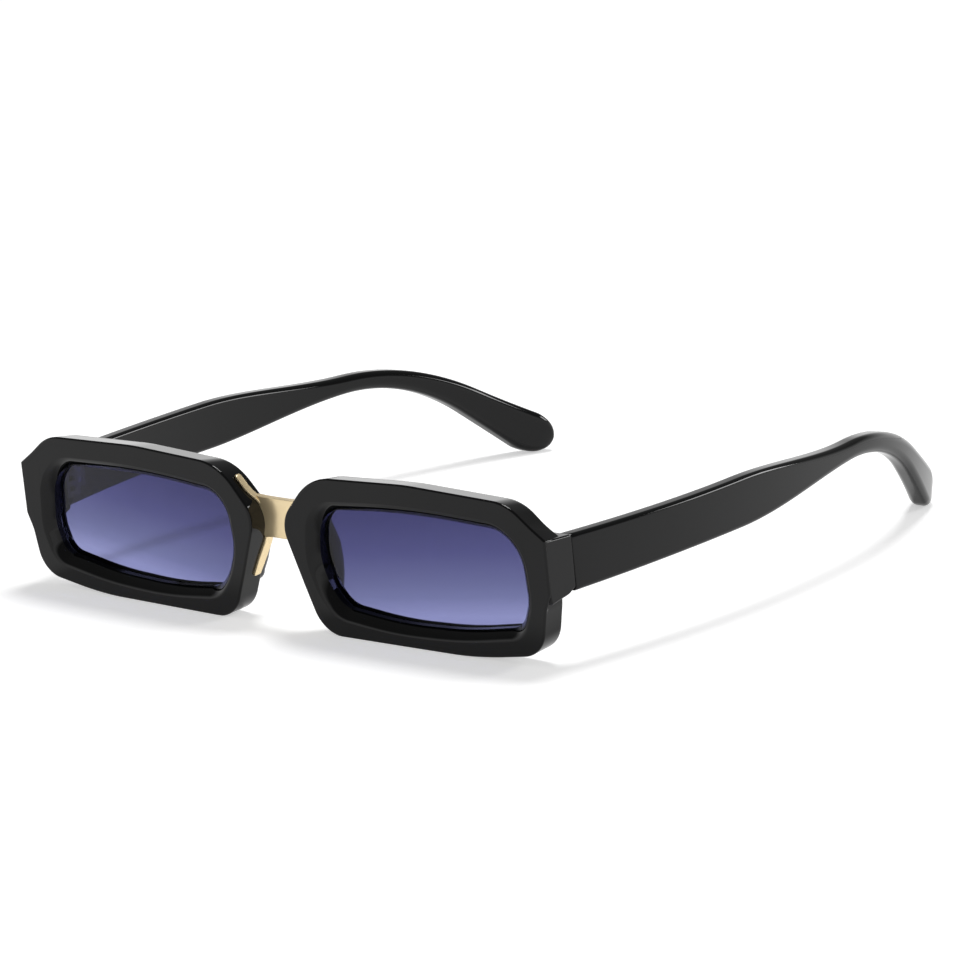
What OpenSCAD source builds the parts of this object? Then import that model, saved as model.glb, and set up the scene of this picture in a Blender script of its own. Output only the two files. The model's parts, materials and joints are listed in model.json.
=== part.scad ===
// Narrow sunglasses: two deep rims joined by a flat metal bridge, flat tinted lenses and
// two temples that fold on five-knuckle hinges.
// Millimetres. Z is up, the front looks towards -Y and the wearer's left is at +X.
// Places on the front are given as u across it, d into the head and v up it.

/* [Front] */
// Lean of the front, degrees: its top stands ahead of its foot
front_lean = 4.85; // [3:0.05:7]
// Turn of each rim back from the middle, degrees
front_wrap = 1.68; // [0.5:0.02:4]
// Gap between the two rims at the nose
nose_gap = 7.1; // [5:0.1:12]
// Width of one rim, without its end block
rim_w = 66.4; // [60:0.1:75]
// Height of a rim
rim_h = 34.5; // [31:0.1:42]
// Depth of a rim from front to back
rim_depth = 6; // [5.6:0.1:8]
// Width of the rim beside the nose
nose_bar = 7.8; // [6.5:0.1:9]
// Width of the rim above the lens
top_bar = 6.9; // [5:0.1:8]
// Width of the rim at its outer side
outer_bar = 5.95; // [4.5:0.05:7.5]
// Width of the rim below the lens
bottom_bar = 4.4; // [3.6:0.1:6.5]
// Width of the rolled band around the lens
roll_w = 2.3; // [1.5:0.1:2.6]
// Depth at which the rolled band ends in a crease
roll_depth = 2; // [1.2:0.1:2.6]
// Rounding of the rim's outer front edge
front_edge = 0.45; // [0.2:0.05:0.8]
// How far the top of the rim falls towards its back
top_fall = 1.1; // [0.4:0.05:1.6]
// Depth of the flat that the rims stand on
foot_cut = 0.18; // [0.1:0.01:0.3]

/* [Lenses] */
// Thickness of a lens
lens_t = 1.8; // [1.4:0.1:2.2]
// Depth of the lens face behind the front of the rim
lens_set = 3.4; // [3:0.05:3.6]
// How far a lens reaches into its groove
lens_seat = 0.75; // [0.5:0.05:1]
// Play between lens and groove
lens_play = 0.05; // [0.02:0.01:0.1]

/* [End blocks] */
// How far an end block stands out from the rim's side
block_out = 1.1; // [0.6:0.1:2.5]
// Height of an end block
block_h = 11.4; // [10.4:0.1:13]
// Height of the block's upper corner below the top of the rim
block_drop = 7.6; // [6.8:0.1:9]
// How far an end block stands behind the back of the rim
block_back = 2.03; // [1.6:0.01:3]
// How far an end block widens from its front to its back
block_slant = 0.5; // [0.2:0.05:0.8]
// Width of the block's back face
block_w = 6.6; // [6:0.1:7.4]

/* [Nose pads] */
// How far a pad stands behind the back of the rim
pad_reach = 4.2; // [3:0.1:6]
// Height of a pad
pad_h = 16; // [13:0.1:18]
// Radius of a pad's widest part
pad_r = 2.3; // [2:0.1:2.8]
// Height of the pad's middle above the foot of the rim
pad_v = 15; // [14:0.1:17]
// Distance of the pad's upper end from the middle of the front
pad_u = 9.1; // [8.6:0.1:10]

/* [Bridge] */
// Thickness of the bridge plate
plate_t = 1.5; // [1:0.1:2]
// Height of the bridge plate
plate_h = 8.7; // [6.5:0.1:9.5]
// Height of the plate's middle above the foot of the rim
plate_v = 22.25; // [21:0.05:23]
// Depth of the plate's upper edge behind the front of the rim
plate_set = 3.75; // [3.2:0.05:4]
// How much deeper the plate's lower edge stands
plate_slant = 0.9; // [0.4:0.1:1.6]
// Width of the upper arms that lie along the rims
top_arm_w = 1.4; // [1.2:0.1:2]
// Width of the lower arms
low_arm_w = 1.8; // [1.6:0.1:2.2]
// Thickness of these arms
arm_t = 0.5; // [0.4:0.05:0.8]
// Depth of the upper arms behind the front of the rim
arm_set = 2.2; // [1.8:0.1:2.4]
// Depth of the lower arms' ends behind the front of the rim
arm_foot_set = 3.1; // [2.6:0.1:3.4]
// Lowest point of the arms above the foot of the rim
arm_low = 9; // [7:0.1:12]
// Highest point of the arms above the foot of the rim
arm_high = 30.6; // [28.5:0.1:31.5]
// Play between the arms and the rims
arm_play = 0.02; // [0:0.01:0.05]
// Play around the pins that hold the arms
pin_play = 0.01; // [0.01:0.01:0.05]
// Radius of these pins
pin_r = 0.45; // [0.3:0.01:0.6]
// Length of these pins inside the rim
pin_len = 2.4; // [1.5:0.1:3.5]
// How far these pins reach into the arm
pin_seat = 0.25; // [0.15:0.05:0.3]

/* [Temples] */
// Length of the straight shaft, from the seam to the ear bend
shaft_len = 94.5; // [85:0.1:105]
// Rise of the shaft towards the ear, degrees
shaft_rise = 2.1; // [1:0.05:3]
// Radius of the ear bend
bend_r = 57; // [50:0.5:66]
// Slope of the tip below the level, degrees
tip_drop = 33.5; // [28:0.5:36]
// Length of the tip between the ear bend and its round end
tip_len = 16.3; // [13:0.1:20]
// Length of the round end
cap_len = 6.8; // [4.5:0.1:7]
// Height of the temple at the seam
root_h = 11.7; // [11:0.1:12.5]
// Height of the shaft before it narrows
shaft_h = 10.55; // [9:0.05:11]
// Height of the temple at its waist
waist_h = 4.05; // [3.2:0.05:5]
// Height of the tip
tip_h = 9.15; // [7:0.05:10]
// Length from the seam over which the shaft keeps its height
broad_len = 51; // [30:0.5:55]
// Length from the seam to the waist
waist_len = 96; // [88:0.5:102]
// Thickness of the temple at the seam
root_t = 3.6; // [3.3:0.05:4.2]
// Thickness of the temple at its tip
tip_t = 5.6; // [4.5:0.1:6]
// Height of the temple's middle above the hinge's, at the seam
temple_up = -0.3; // [-0.5:0.1:1]
// Rounding of the temple's long edges along its shaft
temple_edge = 0.6; // [0.3:0.05:0.9]
// Rounding of the tip's long edges
tip_edge = 1.7; // [0.9:0.05:1.9]
// Outward splay of the temple at the seam, as a slope
splay = 0.152; // [0.1:0.001:0.16]
// Radius of the temple's bow over its shaft
bow_r = 326; // [280:1:450]
// Radius of the inward curl behind the ear
curl_r = 133; // [110:1:200]
// Gap at the seam between an end block and its temple
seam_gap = 0.12; // [0.08:0.01:0.3]

/* [Temple cores] */
// Height of the core wire's flat front end
core_h = 5; // [4.2:0.1:6]
// Height of the wire in the slim part
wire_h = 1.5; // [1:0.1:1.8]
// Thickness of the core wire
core_t = 1; // [0.8:0.05:1.3]
// Distance of the core's front end behind the seam
core_start = 3; // [2:0.1:5]
// Distance of the core's far end before the round end of the tip
core_stop = 8; // [4:0.5:16]
// Play around the core
core_play = 0.03; // [0.01:0.01:0.08]

/* [Hinges] */
// Height of the stack of knuckles
hinge_h = 5.6; // [5.4:0.1:7]
// Height of the hinge's middle above the foot of the rim
hinge_v = 20.2; // [19:0.1:21]
// Distance of the pin behind the back face of the end block
hinge_back = 2.95; // [2.6:0.05:3.4]
// Distance of the pin in from the block's outer face
hinge_in = 5.2; // [5.1:0.05:5.8]
// Radius of the knuckles
knuckle_r = 1.25; // [1.1:0.05:1.5]
// Gap between two knuckles
knuckle_gap = 0.05; // [0.03:0.01:0.1]
// Thickness of the two leaves
leaf_t = 0.8; // [0.6:0.05:1.1]
// How far the leaves are sunk
leaf_sunk = 0.4; // [0.2:0.05:0.5]
// Length of the temple's leaf behind the pin
leaf_len = 6.4; // [5.6:0.1:9]
// Radius of the hinge screw
screw_r = 0.6; // [0.45:0.05:0.75]
// Radius of the screw's head
head_r = 1.05; // [0.9:0.05:1.2]
// Height of the screw's head
head_h = 0.7; // [0.5:0.05:1]
// Width of the slot in the head
slot_w = 0.25; // [0.2:0.05:0.4]
// Running play around the screw
screw_play = 0.03; // [0.02:0.01:0.08]
// Radius of the rivets in the temple's leaf
rivet_r = 0.45; // [0.35:0.05:0.6]
// Radius of the rivets' heads
rivet_head_r = 0.8; // [0.65:0.05:1]
// Height of the rivets' heads
rivet_head_h = 0.3; // [0.2:0.05:0.5]
// Distance between the two rivets
rivet_pitch = 2.2; // [1.9:0.1:3]
// Distance of the rivets behind the pin
rivet_back = 4; // [3.4:0.1:4.6]

/* [Hidden] */

acetate = "#1c1d1f";
tint = "#5a5a92";
gold = "#e6c88c";
steel = "#b9bcc0";
horn = "#3a3c40";

$fn = 48;
left = 1;
right = -1;
far = 200;          // more than any size of the glasses
arc_steps = 7;      // steps of every rounded corner of the rims

// Edges of the rim, across the front
rim_in = nose_gap / 2;
rim_out = rim_in + rim_w;
block_u = rim_out + block_out;
block_top_v = rim_h - block_drop;
block_low_v = block_top_v - block_h;
back_d = rim_depth + block_back;

// Distances of the outlines' corners from the sides of the rim and of its opening
inner_corner = 8.8;
outer_corner = 7.6;
low_corner = 8.6;
nose_corner = 4.75;
opening_corner = 5.65;

// Outer outline of a rim with its end block, clockwise from the nose: u, v, corner radius
outer_outline = [
    [rim_in, 0.67 * rim_h, 6.9],
    [rim_in + inner_corner, rim_h - 1, 12.3],
    [rim_in + rim_w / 2, rim_h, 63],
    [rim_out - outer_corner, rim_h - 0.9, 14],
    [block_u, block_top_v, 0.8],
    [block_u, block_low_v, 2],
    [rim_out - 0.3, block_low_v - 3.4, 8],
    [rim_out - 2, 2.6, 11],
    [rim_out - 0.285 * rim_w, 0, 98],
    [rim_in + 0.413 * rim_w, -0.05, 90],
    [rim_in + low_corner, 0, 10.7],
    [rim_in + nose_corner, 0.29 * rim_h, 60]
];

// Outline of the lens opening at its crease, with the same corners
opening_outline = [
    [rim_in + nose_bar + 0.3, 0.45 * rim_h, 40],
    [rim_in + nose_bar + 1.65, rim_h - top_bar - 1.3, 9],
    [rim_in + 0.49 * rim_w, rim_h - top_bar + 0.5, 200],
    [rim_out - outer_bar - 0.8, rim_h - top_bar - 0.7, 7.5],
    [rim_out - outer_bar + 0.2, 0.49 * rim_h, 50],
    [rim_out - outer_bar + 0.15, 0.43 * rim_h, 50],
    [rim_out - outer_bar, 0.357 * rim_h, 30],
    [rim_out - outer_bar - 1.7, bottom_bar + 3, 5.5],
    [rim_out - 0.33 * rim_w, bottom_bar + 0.55, 90],
    [rim_in + 0.413 * rim_w, bottom_bar - 0.1, 90],
    [rim_in + nose_bar + opening_corner, bottom_bar + 1.5, 6],
    [rim_in + nose_bar + 2.55, 0.28 * rim_h, 14]
];

groove_front = lens_set - lens_play;
groove_back = lens_set + lens_t + lens_play;
groove_reach = lens_seat + lens_play;
lip_edge = 0.4;     // rounding of the opening's back edge
back_edge = 0.5;    // rounding of the rim's outer back edge

// Outer outline with its top corners lowered
function fallen(fall) = [for (q = outer_outline) [q.x, q.y - (q.y > 0.8 * rim_h ? fall : 0), q.z]];

// Rings of a rim: outline, reach beyond it, depth
rim_rings = [
    [outer_outline, -front_edge, 0],
    [opening_outline, roll_w, 0],
    [opening_outline, 0.68 * roll_w, 0.12 * roll_depth],
    [opening_outline, 0.36 * roll_w, 0.45 * roll_depth],
    [opening_outline, 0.14 * roll_w, 0.75 * roll_depth],
    [opening_outline, 0, roll_depth],
    [opening_outline, 0, groove_front],
    [opening_outline, groove_reach, groove_front],
    [opening_outline, groove_reach, groove_back],
    [opening_outline, 0, groove_back],
    [opening_outline, 0, rim_depth - lip_edge],
    [opening_outline, lip_edge, rim_depth],
    [fallen(top_fall), -back_edge, rim_depth],
    [fallen(0.9 * top_fall), 0, rim_depth - back_edge],
    [outer_outline, 0, front_edge],
    [outer_outline, -0.3 * front_edge, 0.3 * front_edge]
];

function unit(p) = p / norm(p);
function flat(p) = [p.x, p.y];
function cross2(a, b) = a.x * b.y - a.y * b.x;
function smooth(t) = let(s = min(1, max(0, t))) s * s * (3 - 2 * s);
function wrapped(i, n) = (i + n) % n;

// Arc at corner q of an outline, between its neighbours p and s
function corner_arc(p, q, s) =
    let(
        to_p = flat(p) - flat(q),
        to_s = flat(s) - flat(q),
        half = acos(unit(to_p) * unit(to_s)) / 2,
        run = min(q.z / tan(half), 0.49 * norm(to_p), 0.49 * norm(to_s)),
        centre = flat(q) + unit(unit(to_p) + unit(to_s)) * run / cos(half),
        from = flat(q) + unit(to_p) * run - centre,
        to = flat(q) + unit(to_s) * run - centre,
        turn = atan2(cross2(from, to), from * to)
    )
    [for (i = [0:arc_steps]) let(a = turn * i / arc_steps)
        centre + [from.x * cos(a) - from.y * sin(a), from.x * sin(a) + from.y * cos(a)]];

// Whole outline with its corners rounded
function rounded(outline) = let(n = len(outline))
    [for (i = [0:n - 1])
        each corner_arc(outline[wrapped(i - 1, n)], outline[i], outline[wrapped(i + 1, n)])];

// The same outline moved outwards by a reach, or inwards by a negative one
function grown(outline, reach) = let(n = len(outline))
    [for (i = [0:n - 1])
        let(
            p = outline[wrapped(i - 1, n)],
            q = outline[i],
            s = outline[wrapped(i + 1, n)],
            along = unit(flat(q) - flat(p)),
            next = unit(flat(s) - flat(q)),
            out_a = [-along.y, along.x],
            out_b = [-next.y, next.x],
            bulge = cross2(along, next) < 0 ? 1 : -1,
            moved = flat(q) + reach * (out_a + out_b) / (1 + out_a * out_b)
        )
        [moved.x, moved.y, max(0.05, q.z + bulge * reach)]];

// Surface through rings of equal size; a closed one joins its last ring to its first
module skin(rings, closed) {
    n = len(rings[0]);
    m = len(rings);
    sides = [for (i = [0:m - (closed ? 1 : 2)], j = [0:n - 1])
        let(
            a = i * n + j,
            b = i * n + (j + 1) % n,
            c = ((i + 1) % m) * n + (j + 1) % n,
            e = ((i + 1) % m) * n + j
        )
        each [[a, b, c], [a, c, e]]];
    ends = closed ? [] : [
        [for (j = [n - 1:-1:0]) j],
        [for (j = [0:n - 1]) (m - 1) * n + j]
    ];
    polyhedron(points = [for (ring = rings) each ring], faces = concat(sides, ends));
}

// Point u, d, v of the left half of the front, in the frame of the glasses
function lean_y(y, z) = y * cos(front_lean) - z * sin(front_lean);
function lean_z(y, z) = y * sin(front_lean) + z * cos(front_lean);
function placed(u, d, v) =
    let(across = u * sin(front_wrap) + d * cos(front_wrap))
    [
        u * cos(front_wrap) - d * sin(front_wrap),
        lean_y(across, v),
        lean_z(across, v) - foot_drop
    ];

// The rims stand on their lower edge, cut flat by foot_cut
foot_drop = lean_z(0.3 * rim_w * sin(front_wrap) + front_edge, 0) + foot_cut;

// Seam between an end block and its temple
seam = placed(block_u + block_slant, back_d + seam_gap, hinge_v + temple_up);
root_lean = front_lean - shaft_rise;
fade_len = 20;      // length over which the seam's slant fades along the temple

// Way along the temple, from the seam: lengths, then place in Y and Z and slope
bend_angle = shaft_rise + tip_drop;
bend_len = bend_r * bend_angle * PI / 180;
path_len = shaft_len + bend_len + tip_len;
bend_y = seam.y + shaft_len * cos(shaft_rise);
bend_z = seam.z + shaft_len * sin(shaft_rise);
tail_y = bend_y + bend_r * (sin(shaft_rise) + sin(tip_drop));
tail_z = bend_z - bend_r * (cos(shaft_rise) - cos(tip_drop));

function slope(s) =
    s < shaft_len ? shaft_rise :
    s < shaft_len + bend_len ? shaft_rise - (s - shaft_len) / bend_r * 180 / PI : -tip_drop;
function way(s) =
    s < shaft_len ? [seam.y + s * cos(shaft_rise), seam.z + s * sin(shaft_rise)] :
    s < shaft_len + bend_len ?
        [bend_y + bend_r * (sin(shaft_rise) - sin(slope(s))),
         bend_z - bend_r * (cos(shaft_rise) - cos(slope(s)))] :
        let(t = s - shaft_len - bend_len)
        [tail_y + t * cos(tip_drop), tail_z - t * sin(tip_drop)];

// Outer face of the temple in plan
curl_y = 102;       // distance behind the seam at which the inward curl begins
function temple_x(y) =
    let(t = y - seam.y, c = max(0, t - curl_y))
    seam.x + splay * t - t * t / (2 * bow_r) - c * c * (1 / curl_r - 1 / bow_r) / 2;

function cap_scale(s, power) =
    let(e = max(0, s - path_len) / cap_len) pow(max(0, 1 - pow(e, power)), 1 / power);
function body_h(s) =
    s < broad_len ? root_h - (root_h - shaft_h) * sin(90 * s / broad_len) :
    s < waist_len ?
        shaft_h - (shaft_h - waist_h) * smooth((s - broad_len) / (waist_len - broad_len)) :
        waist_h + (tip_h - waist_h) * pow(min(1, (s - waist_len) / (path_len - waist_len)), 2);
function temple_h(s) = body_h(s) * cap_scale(s, 2.1);
function swell(s) = smooth((s - 40) / 95);
function full_t(s) = root_t + (tip_t - root_t) * swell(s);

// Point of the temple: s along it, h up its section, in from its outer face
function temple_point(s, h, in) =
    let(
        fade = max(0, 1 - s / fade_len),
        lean = slope(s) + root_lean * fade,
        y = way(s)[0] - h * sin(lean) - in * tan(front_wrap) * fade,
        z = way(s)[1] + h * cos(lean)
    )
    [temple_x(y) - in, y, z];

// Rounded rectangle of a section, as pairs of height and distance in from the outer face
edge_steps = 3;
function section(h, inner, outer, edge) =
    let(r = min(edge, 0.45 * h, 0.45 * (inner - outer)))
    [for (c = [[1, 1], [-1, 1], [-1, -1], [1, -1]], i = [0:edge_steps])
        let(
            a = (c[0] > 0 ? (c[1] > 0 ? 90 : 180) : (c[1] > 0 ? 0 : 270)) - 90 * i / edge_steps,
            mid_h = c[0] * (h / 2 - r),
            mid_in = (inner + outer) / 2 + c[1] * ((inner - outer) / 2 - r)
        )
        [mid_h + r * sin(a), mid_in + r * cos(a)]];

shaft_rings = 12;
bend_rings = 9;
tip_rings = 5;
cap_rings = 6;
temple_stations = concat(
    [for (i = [0:shaft_rings - 1]) shaft_len * i / shaft_rings],
    [for (i = [0:bend_rings - 1]) shaft_len + bend_len * i / bend_rings],
    [for (i = [0:tip_rings - 1]) shaft_len + bend_len + tip_len * i / tip_rings],
    [for (i = [0:cap_rings]) path_len + 0.985 * cap_len * sin(90 * i / cap_rings)]
);

function temple_ring(s) =
    let(
        t = full_t(s),
        squeeze = t * (1 - cap_scale(s, 3)) / 2,
        edge = temple_edge + (tip_edge - temple_edge) * swell(s)
    )
    [for (q = section(temple_h(s), t - squeeze, squeeze, edge))
        temple_point(s, q[0], q[1])];

// Core wire and the channel for it
core_from = core_start;
core_to = path_len - core_stop;
core_rings = 22;
function core_height(s) = wire_h + (core_h - wire_h) * (1 - smooth((s - 12) / 30));
function core_ring(s, play) =
    let(h = core_height(s) / 2 + play, mid = full_t(s) / 2, t = core_t / 2 + play)
    [for (q = [[h, mid + t], [-h, mid + t], [-h, mid - t], [h, mid - t]])
        temple_point(s, q[0], q[1])];
module core_shape(play) {
    skin([for (i = [0:core_rings])
        core_ring(core_from - play + (core_to - core_from + 2 * play) * i / core_rings, play)],
        false);
}

// Hinge: place of the pin, and the direction of the temple's inner face beside it
hinge_u = block_u + block_slant - hinge_in;
hinge_d = back_d + hinge_back;
pin = placed(hinge_u, hinge_d, hinge_v);
face_angle = atan(splay - rivet_back / bow_r) + front_wrap;
face_reach = (temple_x(pin.y) - root_t - pin.x) * cos(face_angle);
knuckles = 5;
knuckle_pitch = hinge_h / knuckles;

module half(side) {
    mirror([side == right ? 1 : 0, 0, 0]) children();
}

module on_front(side) {
    half(side) translate([0, 0, -foot_drop]) rotate([front_lean, 0, 0])
        rotate([0, 0, front_wrap]) children();
}

// Frame of the hinge: its origin on the pin, z along the pin, y along the temple's inner face
module on_hinge(side, turn) {
    on_front(side) translate([hinge_u, hinge_d, hinge_v]) rotate([0, 0, -turn]) children();
}

// Slab of the front between two depths, from a flat outline in u and v
module slab(depth, thickness) {
    translate([0, depth + thickness, 0]) rotate([90, 0, 0]) linear_extrude(thickness) children();
}

// All pieces move back as one, so that the middle of their depth is at Y = 0
front_y = lean_y((rim_in + 0.3 * rim_w) * sin(front_wrap), rim_h - front_edge);
back_y = way(path_len)[0] + norm([cap_len * cos(tip_drop), tip_h * sin(tip_drop) / 2]);
module centred() {
    translate([0, -(front_y + back_y) / 2, 0]) children();
}

module under_floor() {
    translate([-far, -far, -2 * far]) cube(2 * far);
}

module rim(side) {
    color(acetate) difference() {
        on_front(side) difference() {
            union() {
                skin([for (r = rim_rings)
                    [for (p = rounded(grown(r[0], r[1]))) [p.x, r[2], p.y]]], true);
                end_block();
            }
            front_leaf_plate(0.02);
        }
        under_floor();
        half(side) bridge_pin_shape(pin_play);
    }
}

// Part of an end block that stands behind the rim
module end_block() {
    thin = 0.1;
    hull() {
        slab(groove_back + thin, thin)
            block_face(block_u + 0.2 * block_slant, block_top_v - 0.3, block_low_v + 0.2);
        slab(back_d - thin, thin)
            block_face(block_u + block_slant, block_top_v - 1.2, block_low_v - 0.7);
    }
}

module block_face(u, top, low) {
    translate([u - block_w, low]) square([block_w, top - low]);
}

module lens(side) {
    color(tint) on_front(side) slab(lens_set, lens_t)
        polygon(rounded(grown(opening_outline, lens_seat)));
}

// Round-backed pad on the back of the rim beside the nose, widest above its middle
module nose_pad(side) {
    deep = rim_depth + pad_reach - pad_r;
    balls = [
        [pad_u, deep, pad_v + 0.4 * pad_h, 0.8 * pad_r],
        [pad_u + 1.1, deep, pad_v + 0.14 * pad_h, pad_r],
        [pad_u + 1.4, deep, pad_v - 0.1 * pad_h, pad_r],
        [pad_u + 1.8, deep - 0.4, pad_v - 0.26 * pad_h, 0.91 * pad_r],
        [pad_u + 2.2, deep - 1.2, pad_v - 0.4 * pad_h, 0.82 * pad_r]
    ];
    color(horn) on_front(side) intersection() {
        hull() for (b = balls) {
            translate([b[0], b[1], b[2]]) sphere(b[3], $fn = 24);
            translate([b[0] - 0.9, rim_depth, b[2]]) sphere(0.75 * b[3], $fn = 16);
        }
        translate([0, rim_depth, 0]) cube(far);
    }
}

module rim_outline(reach) {
    polygon(rounded(grown(outer_outline, reach)));
}

module bridge() {
    color(gold) difference() {
        bridge_body();
        for (side = [left, right]) half(side) bridge_pin_shape(pin_play);
    }
}

// Side view of the bridge's arms from the top down: depth of front edge, width, height
plate_top = plate_v + plate_h / 2;
plate_low = plate_v - plate_h / 2;
arm_rows = [
    [arm_set, top_arm_w, arm_high],
    [arm_set + 0.2, top_arm_w, plate_top + 0.7],
    [plate_set + 0.1, plate_t, plate_top - 1.6],
    [plate_set + plate_slant, plate_t, plate_low],
    [plate_set + plate_slant + 0.3, low_arm_w + 0.5, plate_low - 0.8],
    [arm_foot_set + 0.7, low_arm_w + 0.5, (plate_low + arm_low) / 2 - 0.6],
    [arm_foot_set, low_arm_w, arm_low]
];

// Arms that lie along a rim's edge
module arm_pair() {
    intersection() {
        slab(0, 2 * rim_depth) difference() {
            rim_outline(arm_play + arm_t);
            rim_outline(arm_play);
        }
        rotate([90, 0, 90]) linear_extrude(3 * rim_in) polygon(concat(
            [for (r = arm_rows) [r[0], r[2]]],
            [for (i = [len(arm_rows) - 1:-1:0]) [arm_rows[i][0] + arm_rows[i][1], arm_rows[i][2]]]
        ));
    }
}

module bridge_plate() {
    lean = atan(plate_slant / plate_h);
    translate([0, plate_set + plate_slant / 2, plate_v]) rotate([lean, 0, 0])
        slab(0, plate_t) difference() {
            translate([-1.5 * rim_in, -plate_h / 2]) square([3 * rim_in, plate_h]);
            for (side = [left, right]) mirror([side == right ? 1 : 0, 0])
                translate([0, -plate_v]) rim_outline(arm_play + arm_t / 2);
        }
}

module bridge_body() {
    union() {
        for (side = [left, right]) on_front(side) arm_pair();
        translate([0, 0, -foot_drop]) rotate([front_lean, 0, 0]) bridge_plate();
    }
}

// Headless pins between the arms and the rims, square to the straight edges of the outline;
// each stands on the edge from one corner of the outline to the next, at its height and depth
low_pin_up = 2.6;   // height of the lower pin above the arms' lowest point
pin_spots = [
    [outer_outline[len(outer_outline) - 1], outer_outline[0], arm_low + low_pin_up, arm_foot_set + 1.4],
    [outer_outline[0], outer_outline[1], arm_high - 1.7, arm_set + 0.1 + top_arm_w / 2]
];
module bridge_pin_shape(play) {
    on_front(left) for (q = pin_spots) {
        along = unit(flat(q[1]) - flat(q[0]));
        u = q[0].x + along.x * (q[2] - q[0].y) / along.y;
        translate([u, q[3], q[2]]) rotate([0, atan2(along.y, -along.x), 0])
            translate([0, 0, -pin_seat - play])
                cylinder(r = pin_r + play, h = pin_seat + pin_len + 2 * play);
    }
}
module bridge_pins(side) {
    color(steel) half(side) bridge_pin_shape(0);
}

module temple(side) {
    color(acetate) difference() {
        half(side) skin([for (s = temple_stations) temple_ring(s)], false);
        under_floor();
        half(side) core_shape(core_play);
        on_hinge(side, face_angle) temple_leaf_plate(0.02);
        on_hinge(side, face_angle) rivet_shanks(0.02);
    }
}

module temple_core(side) {
    color(steel) difference() {
        half(side) core_shape(0);
        on_hinge(side, face_angle) rivet_shanks(0.02);
    }
}

// Plate of the front leaf, let into the back of the end block; the play widens it to its pocket
module front_leaf_plate(play) {
    translate([hinge_u - knuckle_r - 0.2 - play, back_d - leaf_sunk - play, hinge_v - hinge_h / 2 - play])
        cube([2 * knuckle_r + 0.4 + 2 * play, leaf_t + play, hinge_h + 2 * play]);
}

// Knuckle number i, counted from below, reaching from the pin along y by a length
module knuckle(i, length) {
    base = -hinge_h / 2 + i * knuckle_pitch + knuckle_gap / 2;
    height = knuckle_pitch - knuckle_gap;
    translate([0, 0, base]) {
        cylinder(r = knuckle_r, h = height);
        translate([-knuckle_r, 0, 0]) cube([2 * knuckle_r, length, height]);
    }
}

module screw_bore() {
    translate([0, 0, -hinge_h]) cylinder(r = screw_r + screw_play, h = 2 * hinge_h);
}

module hinge_front_leaf(side) {
    color(gold) difference() {
        union() {
            on_front(side) front_leaf_plate(0);
            on_hinge(side, 0) rotate([0, 0, 180])
                for (i = [0:2:knuckles - 1]) knuckle(i, hinge_back);
        }
        on_hinge(side, 0) screw_bore();
    }
}

// Plate of the temple's leaf, let into the temple's inner face
module temple_leaf_plate(play) {
    translate([face_reach + leaf_sunk - leaf_t - play, -knuckle_r - play, -hinge_h / 2 - play])
        cube([leaf_t + 2 * play, knuckle_r + leaf_len + 2 * play, hinge_h + 2 * play]);
}

module hinge_temple_leaf(side) {
    color(gold) difference() {
        on_hinge(side, face_angle) union() {
            temple_leaf_plate(0);
            rotate([0, 0, -90]) for (i = [1:2:knuckles - 2])
                knuckle(i, face_reach + leaf_sunk - leaf_t / 2);
        }
        on_hinge(side, face_angle) screw_bore();
        on_hinge(side, face_angle) rivet_shanks(0.01);
    }
}

module rivet_shanks(play) {
    for (z = [-1, 1] * rivet_pitch / 2)
        translate([face_reach + leaf_sunk - leaf_t, rivet_back, z]) rotate([0, 90, 0])
            cylinder(r = rivet_r + play, h = leaf_t - leaf_sunk + 2.6 + play);
}

module temple_rivets(side) {
    color(steel) on_hinge(side, face_angle) {
        rivet_shanks(0);
        for (z = [-1, 1] * rivet_pitch / 2)
            translate([face_reach + leaf_sunk - leaf_t, rivet_back, z]) rotate([0, -90, 0])
                cylinder(r1 = rivet_head_r, r2 = 0.7 * rivet_head_r, h = rivet_head_h, $fn = 32);
    }
}

module hinge_screw(side) {
    color(steel) on_hinge(side, 0) difference() {
        union() {
            translate([0, 0, -hinge_h / 2]) cylinder(r = screw_r, h = hinge_h);
            translate([0, 0, hinge_h / 2]) cylinder(r = head_r, h = head_h);
        }
        translate([-head_r, -slot_w / 2, hinge_h / 2 + 0.6 * head_h]) cube([2 * head_r, slot_w, head_h]);
    }
}

centred() rim(left);  // rim_left
centred() rim(right);  // rim_right
centred() lens(left);  // lens_left
centred() lens(right);  // lens_right
centred() nose_pad(left);  // nose_pad_left
centred() nose_pad(right);  // nose_pad_right
centred() bridge();
centred() bridge_pins(left);  // bridge_pins_left
centred() bridge_pins(right);  // bridge_pins_right
centred() temple(left);  // temple_left
centred() temple(right);  // temple_right
centred() temple_core(left);  // temple_core_left
centred() temple_core(right);  // temple_core_right
centred() hinge_front_leaf(left);  // hinge_front_leaf_left
centred() hinge_front_leaf(right);  // hinge_front_leaf_right
centred() hinge_temple_leaf(left);  // hinge_temple_leaf_left
centred() hinge_temple_leaf(right);  // hinge_temple_leaf_right
centred() hinge_screw(left);  // hinge_screw_left
centred() hinge_screw(right);  // hinge_screw_right
centred() temple_rivets(left);  // temple_rivets_left
centred() temple_rivets(right);  // temple_rivets_right
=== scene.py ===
import json
import math

import bmesh
import bpy
from mathutils import Matrix, Vector


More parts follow.
